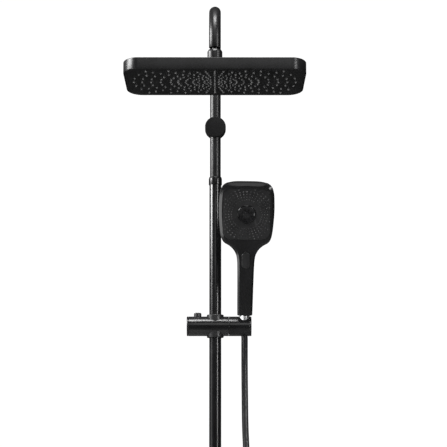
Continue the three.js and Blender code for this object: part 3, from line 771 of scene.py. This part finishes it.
def make_arm():
    arm = tube("shower_arm", arm_route(), ARM_RADIUS, MATERIALS["satin_coat"], "arm",
               bore=8.8, sides=72, round_end=0.5)
    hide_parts("overhead_arm")

    arc = [polar(BALL_RADIUS, math.radians(angle)) for angle in range(-65, 55, 7)]
    ball = [(radius, BALL_Z + height) for radius, height in arc]
    stud = lathe("ball_and_neck", [(3, BALL_Z - 7.95)] + ball + [
        (5, ARM_END - 0.6), (8.4, ARM_END + 0.4), (8.4, ARM_END + 14), (3, ARM_END + 14),
    ], HEAD, MATERIALS["satin_coat"], "arm", edge=0.3)
    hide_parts("ball_stud")


# ---- rain head -----------------------------------------------------------------------------------
HEAD_SIZE = (302, 190)
HEAD_CORNER = (26, 40)
HEAD_LOW, HEAD_TOP = 6, 25.5
SHEET = 1.4
NOZZLE_RAYS = 32
# Radius of each ring of nozzles, and which rays it uses: each one, each second one and so on.
NOZZLE_RINGS = ((136, 1), (122, 1), (107, 1), (91, 1), (74, 1), (62, 1), (49, 1), (37, 1),
                (28, 2), (18, 2), (11, 4), (6, 8))
NOZZLE_MARGIN = 13
INNER_NOZZLES = 55


def head_outline(inset):
    return outline(HEAD_SIZE[0] - 2 * inset, HEAD_SIZE[1] - 2 * inset,
                   HEAD_CORNER[0] - inset, HEAD_CORNER[1] - inset, steps=16)


def nozzle(centre, radius, drop, sides=14):
    """Points and faces of one nozzle: a collar, a tapering teat and its dimpled mouth."""
    profile = [(radius * 1.35, 0.4), (radius * 1.35, -0.15), (radius * 1.05, -0.35),
               (radius * 0.92, -drop * 0.8), (radius * 0.72, -drop), (radius * 0.38, -drop),
               (radius * 0.3, -drop + 0.7)]
    points = []
    for r, z in profile:
        for i in range(sides):
            x, y = polar(r, 2 * math.pi * i / sides)
            points.append(Vector((centre[0] + x, centre[1] + y, z)))
    return points, walls(len(profile), sides) + lids(len(profile), sides)


def nozzle_field(name, centres, radius, drop, place, material, body):
    """Many nozzles as one moulded piece. place puts the drawing's -Z along the spray."""
    vertices, faces = [], []
    for centre in centres:
        points, own = nozzle(centre, radius, drop)
        faces += [tuple(len(vertices) + i for i in face) for face in own]
        vertices += [place @ (point * MM) for point in points]
    return finished(name, vertices, faces, MATERIALS[material], body, crease=50)


def make_rain_head():
    black = MATERIALS["satin_coat"]
    shell = plate("head_casing", head_outline, rim(HEAD_LOW, HEAD_TOP, 1), HEAD, black,
                  "rain_head", crease=24)
    boss = lathe("tool", [
        (0, HEAD_TOP - 1), (15.6, HEAD_TOP - 1), (14.4, HEAD_TOP + 1), (14, HEAD_TOP + 6),
        (10.7, HEAD_TOP + 6), (10.7, BALL_Z - 5.8), (0, BALL_Z - 5.8),
    ], HEAD, black, edge=0.6)
    weld(shell, boss)
    pocket = plate("tool", head_outline, [(SHEET, HEAD_LOW - 1), (SHEET, HEAD_TOP - SHEET)], HEAD, black)
    relief = lathe("tool", [(0, BALL_Z - 9.2), (6.8, BALL_Z - 6.6), (8, BALL_Z - 5), (0, BALL_Z - 5)],
                   HEAD, black, edge=0)
    carve(shell, pocket, rod(6, HEAD_TOP - 6, BALL_Z, HEAD), relief)
    dress(shell, black, 24)
    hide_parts("head_shell")

    face_low = HEAD_LOW + 0.4
    face = plate("head_spray_plate", head_outline, [
        (SHEET + 0.7, face_low + 1.4), (SHEET + 0.35, face_low + 1.1), (SHEET + 0.35, face_low + 0.5),
        (SHEET + 0.6, face_low + 0.15), (SHEET + 1.1, face_low), (SHEET + 4.2, face_low),
        (SHEET + 4.7, face_low + 0.45), (SHEET + 5.4, face_low + 0.45),
    ][::-1], HEAD, black, "rain_head", crease=24)
    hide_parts("head_face_plate")

    centres = []
    for radius, every in NOZZLE_RINGS:
        for ray in range(0, NOZZLE_RAYS, every):
            x, y = polar(radius, 2 * math.pi * ray / NOZZLE_RAYS)
            if abs(y) < HEAD_SIZE[1] / 2 - NOZZLE_MARGIN:
                centres.append((x, y))
    spray = HEAD @ at(0, 0, (face_low + 0.45) * MM)
    inner = [centre for centre in centres if math.hypot(*centre) < INNER_NOZZLES]
    outer = [centre for centre in centres if math.hypot(*centre) >= INNER_NOZZLES]
    nozzle_field("head_nozzles", outer, 1.4, 1.9, spray, "grey_silicone", "rain_head")
    nozzle_field("head_inner_nozzles", inner, 1.1, 1.6, spray, "grey_silicone", "rain_head")

    top = 62
    nut = lathe("head_swivel_nut", [
        (11.1, 37), (12.6, 37), (12.6, top - 3.4), (10.6, top), (9.4, top), (7.9, BALL_Z + 8.1),
        (8.7, BALL_Z + 7.2), (11.15, BALL_Z + 4.4), (11.15, BALL_Z + 0.5),
    ], HEAD, black, "rain_head", edge=0.3, crease=24)
    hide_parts("swivel_nut")


# ---- slider --------------------------------------------------------------------------------------
SLIDER_RADIUS = 18
CAP_END, CAP_SEAM = -52.3, -49.7
SEAM = 25.1
HOLDER_END = 66.5
BUTTON_X = -32.4
SPIGOT_RADIUS = 13.6
CAP_PLUG_BORE = 14.5
BUSH_BORE = 15.9
SHOE_BORE = 6.6
BUTTON_BORE = 7.3
PIVOT_BORE = 3.4
PIVOT_HEAD_BORE = 6


def make_slider():
    black, plastic = MATERIALS["matt_black"], MATERIALS["black_plastic"]
    along = SLIDER_FRAME @ ALONG_X
    body = lathe("slider_barrel", [
        (0, CAP_SEAM + 0.3), (SLIDER_RADIUS, CAP_SEAM + 0.3), (SLIDER_RADIUS, SEAM - 0.3), (0, SEAM - 0.3),
    ], along, black, "slider", edge=0.5, sides=128)
    weld(body, rod(SPIGOT_RADIUS, SEAM - 2, SEAM + 0.5, along, sides=96))
    carve(
        body,
        rod(CAP_PLUG_BORE, CAP_SEAM - 1, -18.4, along),
        rod(BUSH_BORE, -30, 30, SLIDER_FRAME, sides=128),
        rod(SHOE_BORE, -19, -10, along),
        rod(BUTTON_BORE, 0, 30, SLIDER_FRAME @ at(BUTTON_X * MM, 0, 0)),
        rod(PIVOT_BORE, 17, 30, along, sides=32),
    )
    soften(body, 0.35 * MM, angle=40)
    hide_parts("slider_body")

    cap = lathe("slider_cap", [
        (0, CAP_END), (SLIDER_RADIUS - 0.8, CAP_END), (SLIDER_RADIUS, CAP_END + 0.8),
        (SLIDER_RADIUS, CAP_SEAM), (14.1, CAP_SEAM), (14.1, CAP_SEAM + 3), (0, CAP_SEAM + 3),
    ], along, black, "slider", edge=0.3, sides=128)
    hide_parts("slider_end_cap")

    bush = lathe("slider_guide_bush", [
        (11.4, -21), (14.9, -21), (15.5, -20.2), (15.5, 20.2), (14.9, 21), (11.4, 21),
    ], SLIDER_FRAME, plastic, "slider", edge=0.4)
    carve(bush, rod(SHOE_BORE, -20, 0, along))
    dress(bush, plastic)
    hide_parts("slider_bush")

    button = lathe("slider_release_button", [
        (0, 8.6), (6.9, 8.6), (6.9, 23.2), (6.1, 24.4), (3.4, 24.9), (0, 24.9),
    ], SLIDER_FRAME @ at(BUTTON_X * MM, 0, 0), plastic, "brake_button", edge=0.7)
    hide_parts("brake_button")


def make_holder():
    black = MATERIALS["matt_black"]
    along = HOLDER_FRAME @ ALONG_X
    holder = lathe("holder_barrel", [
        (0, SEAM), (SLIDER_RADIUS, SEAM), (SLIDER_RADIUS, HOLDER_END - 3.6),
        (SLIDER_RADIUS - 0.5, HOLDER_END - 3.1), (SLIDER_RADIUS, HOLDER_END - 2.6),
        (SLIDER_RADIUS, HOLDER_END - 0.8), (SLIDER_RADIUS - 0.8, HOLDER_END), (0, HOLDER_END),
    ], along, black, "holder", edge=0.35, sides=128)
    socket_place = HOLDER_FRAME @ at(HOLDER_X, 0, 0)
    socket = lathe("tool", [
        (0, -24.8), (9.3, -24.8), (9.3, -20), (9.9, 20), (9.9, 24.8), (0, 24.8),
    ], socket_place, black, edge=0)
    slot = block((-6.8, 0, -30), (6.8, 30, 30), socket_place)
    register = rod(SPIGOT_RADIUS + 0.4, SEAM - 1, SEAM + 0.8, along, sides=96)
    pivot_hole = rod(PIVOT_BORE, 20, 50, along, sides=32)
    pivot_head_hole = rod(PIVOT_HEAD_BORE, 36.2, 54, along, sides=48)
    carve(holder, socket, slot, register, pivot_hole, pivot_head_hole)
    soften(holder, 0.4 * MM, angle=40)
    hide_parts("handset_holder")


# ---- hand shower ---------------------------------------------------------------------------------
# Height, half width, front, rear, rear squareness, bevel width and bevel depth along the handset.
HANDSET_SECTIONS = [
    (0, 13.0, 12.6, 12.6, 2.3, 3.4, 3.0),
    (1.2, 13.8, 13.4, 13.4, 2.4, 3.6, 3.0),
    (60, 14.7, 13.4, 13.4, 2.6, 3.8, 2.8),
    (100, 15.6, 12.8, 12.4, 2.8, 4.0, 2.6),
    (112, 16.9, 12.2, 11.4, 3.0, 4.2, 2.5),
    (120, 19.8, 11.6, 10.4, 3.2, 4.6, 2.5),
    (127, 24.6, 11.2, 9.4, 3.4, 5.0, 2.6),
    (133, 31.5, 11.0, 8.6, 3.8, 5.2, 2.7),
    (138, 40.0, 10.9, 8.3, 4.0, 5.2, 2.8),
    (144, 44.0, 10.8, 8.1, 4.2, 5.2, 2.8),
    (152, 46.4, 10.8, 8.0, 4.2, 5.2, 2.8),
    (172, 48.8, 10.8, 7.8, 4.4, 5.2, 2.8),
    (200, 50.2, 10.8, 7.6, 4.4, 5.2, 2.8),
    (226, 49.4, 10.8, 7.6, 4.4, 5.2, 2.8),
    (238, 46.8, 10.8, 7.2, 4.2, 5.2, 2.8),
    (244, 43.4, 10.8, 6.8, 4.0, 5.2, 2.8),
    (248.8, 36.0, 10.8, 6.2, 3.8, 5.2, 2.8),
    (250, 29.0, 10.8, 5.4, 3.6, 5.2, 2.8),
]
HANDSET_LENGTH = HANDSET_SECTIONS[-1][0]
FACE_Z = 192
FACE_SIZE = (86, 96)
FACE_FRONT = 10.8
BUTTON_Z = 106
DISC_RADIUS = 17
SKIN = 2.2
SPRAY_RAYS = 40
SPRAY_RINGS = (27.5, 32.5, 37.5, 42.5, 47.5)


def handset_section(z):
    """The handset's measures at a height, by a smooth curve that doesn't overshoot."""
    rows = HANDSET_SECTIONS
    k = max(i for i, row in enumerate(rows[:-1]) if row[0] <= z or i == 0)
    low, high = rows[k], rows[k + 1]
    span = high[0] - low[0]
    t = min(max((z - low[0]) / span, 0), 1)

    def slope(i, column):
        if i in (0, len(rows) - 1):
            return 0.0
        before = (rows[i][column] - rows[i - 1][column]) / (rows[i][0] - rows[i - 1][0])
        after = (rows[i + 1][column] - rows[i][column]) / (rows[i + 1][0] - rows[i][0])
        return 2 * before * after / (before + after) if before * after > 0 else 0.0

    made = []
    for column in range(1, len(low)):
        m0, m1 = slope(k, column) * span, slope(k + 1, column) * span
        made.append(low[column] * (2 * t ** 3 - 3 * t ** 2 + 1) + m0 * (t ** 3 - 2 * t ** 2 + t)
                    + high[column] * (3 * t ** 2 - 2 * t ** 3) + m1 * (t ** 3 - t ** 2))
    return made


def silhouette(steps=250):
    """Right half of the handset's outline seen from the front, from the bottom to the crown."""
    heights = [HANDSET_LENGTH * k / steps for k in range(steps + 1)]
    return [Vector((handset_section(z)[0], z)) for z in heights] + [Vector((0, HANDSET_LENGTH))]


def edge_distance(x, z, line):
    """How far a point of the front is from the outline."""
    point = Vector((x, z))
    best = 1e9
    for start, end in zip(line, line[1:]):
        along = end - start
        share = min(max((point - start).dot(along) / along.length_squared, 0), 1)
        best = min(best, (start + along * share - point).length)
    return best


def handset_ring(z, line, shrink=0.0):
    """Outline of the handset at a height: flat front, bevel, and rounded sides and back."""
    half, front, rear, power, bevel, depth = handset_section(z)
    half, front, rear = half - shrink, front - shrink, rear - shrink
    low, high, halvings = 0.0, half, 14
    for _ in range(halvings):
        middle = (low + high) / 2
        if edge_distance(middle, z, line) > bevel:
            low = middle
        else:
            high = middle
    flat = max(low, half * 0.04)
    samples = [flat * k / 8 for k in range(9)] + [flat + (half - flat) * k / 5 for k in range(1, 5)]
    right = []
    for x in samples:
        share = min(edge_distance(x, z, line) / bevel, 1)
        right.append((x, -front + depth * (1 - share)))
    corner = -front + depth
    right.append((half * 0.998, corner + 0.05))
    for k in range(1, 17):
        angle = math.pi / 2 * k / 16
        right.append((half * math.cos(angle) ** (2 / power),
                      corner + (rear - corner) * math.sin(angle) ** (2 / power)))
    left = [(-x, y) for x, y in reversed(right[1:-1])]
    return [(x, y, z) for x, y in right + left]


def handset_heights(low, high, count):
    """Heights that crowd together towards both ends of the hand shower."""
    evenly = [low + (high - low) * k / count for k in range(count + 1)]
    extra = [0.5, 1, 2, 4, 246, 247, 248, 249.4, 249.7, 249.9]
    return sorted(set(evenly + [z for z in extra if low < z < high]))


def face_outline(inset):
    return outline(FACE_SIZE[0] - 2 * inset, FACE_SIZE[1] - 2 * inset, 16 - inset, 16 - inset)


def pill_outline(inset):
    return outline(15.6 - 2 * inset, 31 - 2 * inset, 7.5 - inset, 7.5 - inset)


def make_handset_body():
    black = MATERIALS["matt_black"]
    line = silhouette()
    rings = [handset_ring(z, line) for z in handset_heights(0, HANDSET_LENGTH, 110)]
    body = stacked("handset_casing", rings, HANDSET_FRAME, black, "handset", crease=16)
    hollow = stacked("tool", [handset_ring(z, line, SKIN) for z in handset_heights(22, 243, 40)],
                     HANDSET_FRAME, black)
    facing_face = HANDSET_FRAME @ at(0, 0, FACE_Z * MM) @ OFF_WALL
    facing_button = HANDSET_FRAME @ at(0, 0, BUTTON_Z * MM) @ OFF_WALL
    window = plate("tool", face_outline, [(0, 5), (0, 20)], facing_face, black)
    pill = plate("tool", pill_outline, [(0, 5), (0, 20)], facing_button, black)
    carve(body, hollow, rod(8.4, -1, 23, HANDSET_FRAME), window, pill)
    dress(body, black, 16)
    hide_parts("handset_body")


def make_handset_face():
    plastic, gloss = MATERIALS["black_plastic"], MATERIALS["gloss_plastic"]
    facing = HANDSET_FRAME @ at(0, 0, FACE_Z * MM) @ OFF_WALL
    front = FACE_FRONT - 0.25
    face = plate("handset_spray_plate", face_outline, [
        (0.6, FACE_FRONT - 4), (0.3, FACE_FRONT - 3.6), (0.3, front - 0.5), (0.45, front - 0.15),
        (0.8, front),
    ], facing, plastic, "handset", crease=24)
    carve(face, rod(DISC_RADIUS + 0.3, 0, 20, facing, sides=96))
    soften(face, 0.25 * MM, angle=50)
    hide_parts("handset_face_plate")

    disc = lathe("handset_spray_disc", [
        (0, 6.8), (DISC_RADIUS, 6.8), (DISC_RADIUS, 10.3), (DISC_RADIUS - 0.9, 11.3),
        (DISC_RADIUS - 2.4, 11.1), (DISC_RADIUS - 4.4, 10.2), (6.4, 9.8), (4.6, 10.5), (0, 10.8),
    ], facing, gloss, "handset", edge=0.4)
    holes = []
    for k in range(8):
        x, y = polar(9.2, 2 * math.pi * (k + 0.5) / 8)
        spot = at(x * MM, y * MM, 0)
        holes.append(rod(2.1, 8.4, 14, facing @ spot, sides=28))
    carve(disc, *holes)
    dress(disc, gloss)
    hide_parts("spray_disc")

    centres = []
    for radius in SPRAY_RINGS:
        for ray in range(SPRAY_RAYS):
            x, y = polar(radius, 2 * math.pi * ray / SPRAY_RAYS)
            corner = math.hypot(max(abs(x) - 28, 0), max(abs(y) - 33, 0))
            if abs(x) < 40.5 and abs(y) < 45.5 and corner < 13:
                centres.append((x, y))
    spray = facing @ at(0, 0, front * MM) @ Matrix.Rotation(math.pi, 4, "X")
    nozzle_field("handset_nozzles", centres, 0.85, 1.3, spray, "dark_silicone", "handset")


def make_mode_button():
    plastic = MATERIALS["black_plastic"]
    facing = HANDSET_FRAME @ at(0, 0, BUTTON_Z * MM) @ OFF_WALL
    crown = [(0.35, 9), (0.35, 13.2)]
    crown += [(0.35 + 1.3 * (1 - math.cos(a)), 13.2 + 0.8 * math.sin(a))
              for a in (math.pi / 2 * k / 5 for k in range(1, 6))]
    crown += [(4.5, 14.2)]
    button = plate("handset_mode_button", pill_outline, crown, facing, plastic,
                   "mode_button", crease=24)
    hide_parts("mode_button")


def make_cone_nut():
    cuts = 12

    def grip(angle, z):
        """Grooves down the wide end only."""
        return 1 - 0.09 * groove(angle, cuts, 7, math.pi / cuts) * (-13 < z < -1)

    nut = lathe("handset_cone_nut", [
        (6.4, -40), (7.8, -40), (8.2, -39.4), (9.1, -14.4), (9.3, -13.4), (9.3, -1.2), (8.8, -0.6),
        (6.9, -0.6), (6.9, -18), (6.4, -19),
    ], HANDSET_FRAME, MATERIALS["chrome"], "handset", sides=240, edge=0.25, flute=grip)
    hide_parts("cone_nut")


# ---- mixer ---------------------------------------------------------------------------------------
BODY_END = 92
BODY_RADIUS = 22
CARTRIDGE_BORE = 17
WATER_BORE = 7
HANDLE_END = 142
HANDLE_RADIUS = 24
SPINDLE_END = 107
SPINDLE_BORE = 5.4
STOP_X = 118


def make_mixer_body():
    black = MATERIALS["matt_black"]
    along = MIXER_FRAME @ ALONG_X
    body = lathe("mixer_bar", [
        (0, -BODY_END), (BODY_RADIUS, -BODY_END), (BODY_RADIUS, BODY_END), (0, BODY_END),
    ], along, black, "column", sides=144, edge=1)
    weld(body, rod(12, 0, 28, MIXER_FRAME), rod(9.4, -38, 0, MIXER_FRAME @ at(OUTLET_X, 0, 0)))
    for side in (-1, 1):
        weld(body, rod(12, 0, 28.7, MIXER_FRAME @ at(side * INLET_X, 0, 0) @ TOWARD_WALL))
    carve(
        body,
        rod(CARTRIDGE_BORE, 22, BODY_END + 1, along),
        rod(CARTRIDGE_BORE, -BODY_END - 1, -22, along),
        rod(8, -23, 23, along),
        rod(WATER_BORE, 0, 30, MIXER_FRAME),
        rod(5, -40, 0, MIXER_FRAME @ at(OUTLET_X, 0, 0)),
        rod(WATER_BORE, 0, 30, MIXER_FRAME @ at(-INLET_X, 0, 0) @ TOWARD_WALL),
        rod(WATER_BORE, 0, 30, MIXER_FRAME @ at(INLET_X, 0, 0) @ TOWARD_WALL),
    )
    soften(body, 0.8 * MM, angle=50, segments=3)
    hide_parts("mixer_body")


def make_handle(name, side, body, node):
    """Turned grip with shallow flutes round its outer end."""
    black = MATERIALS["matt_black"]
    start, radius, flutes = BODY_END + 0.6, HANDLE_RADIUS, 20
    fluted = (start + 12, HANDLE_END - 4)
    turn = Matrix.Identity(4) if side > 0 else Matrix.Rotation(math.pi, 4, "Z")

    def grip(angle, x):
        share = min(max((x - fluted[0]) / 6, 0), 1) * (x < fluted[1] + 3)
        return 1 - 0.045 * groove(angle, flutes, 2, math.pi / flutes) * share

    profile = [(0, SPINDLE_END), (SPINDLE_BORE, SPINDLE_END), (SPINDLE_BORE, start),
               (radius, start), (radius, fluted[0]),
               (radius, fluted[0] + 3), (radius, fluted[0] + 6), (radius, HANDLE_END - 2),
               (radius - 2, HANDLE_END), (radius - 6, HANDLE_END), (radius - 7, HANDLE_END - 0.6),
               (0, HANDLE_END - 0.6)]
    handle = lathe(name, profile, MIXER_FRAME @ turn @ ALONG_X, black, body,
                   sides=240, edge=0.7, flute=grip)
    if side > 0:
        carve(handle, rod(5.4, 14, 30, MIXER_FRAME @ at(STOP_X * MM, 0, 0) @ OFF_WALL))
        dress(handle, black)
    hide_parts(node)


def make_stop_button():
    plastic = MATERIALS["black_plastic"]
    button = lathe("temperature_lock_button", [
        (0, 17), (4.9, 17), (4.9, 24.6), (4.2, 25.5), (2.2, 25.8), (0, 25.8),
    ], MIXER_FRAME @ at(STOP_X * MM, 0, 0) @ OFF_WALL, plastic, "stop_button", edge=0.6)
    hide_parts("temperature_stop_button")


def make_inlet(side, label):
    black = MATERIALS["matt_black"]
    place = at(side * INLET_X, 0, MIXER.z) @ OFF_WALL
    rosette = lathe(f"rosette_{label}", [
        (11, 0), (31, 0), (31, 4.6), (29, 8), (25, 10.8), (16, 12), (11, 12),
    ], place, black, "column", sides=128, edge=1.2)
    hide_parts(f"wall_rosette_{label}")

    across, low, high = 17.5, 17, 42.3
    corners = [polar(across, math.radians(60 * k)) for k in range(6)]
    hexagon = []
    for k, (x, y) in enumerate(corners):
        nx, ny = corners[(k + 1) % 6]
        hexagon += [(x + (nx - x) * t / 8, y + (ny - y) * t / 8) for t in range(8)]
    nut = stacked(f"inlet_nut_{label}", [[(x, y, z) for x, y in hexagon] for z in (low, high)],
                  place, black, "column")
    dome = lathe("tool", [(0, low - 1), (15.4, low - 1), (15.4, low), (17.9, low + 1.6),
                          (17.9, high - 1.6), (15.4, high), (15.4, high + 1), (0, high + 1)],
                 place, black, edge=0)
    combine(nut, [dome], "INTERSECT")
    carve(nut, rod(12.4, 22.6, 60, place), rod(10.8, 10, 30, place))
    soften(nut, 0.4 * MM, angle=45)
    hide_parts(f"union_nut_{label}")


# ---- assembly ------------------------------------------------------------------------------------
def dress_carried_nodes():
    """Gives every CAD node that still shows the finish of its slot."""
    for entry in frame["record"]["subparts"]:
        node = frame["nodes"][entry["node"]]
        if node.hide_render:
            continue
        node.data.materials.clear()
        node.data.materials.append(MATERIALS[entry["material_slot"]])


make_camera()
make_hose()
make_bracket()
make_riser()
make_arm()
make_rain_head()
make_slider()
make_holder()
make_handset_body()
make_handset_face()
make_mode_button()
make_cone_nut()
make_mixer_body()
make_handle("temperature_grip", 1, "temperature_handle", "temperature_handle")
make_handle("diverter_grip", -1, "diverter_handle", "diverter_handle")
make_stop_button()
make_inlet(-1, "left")
make_inlet(1, "right")
dress_carried_nodes()
make_world()
make_lights()
make_floor()
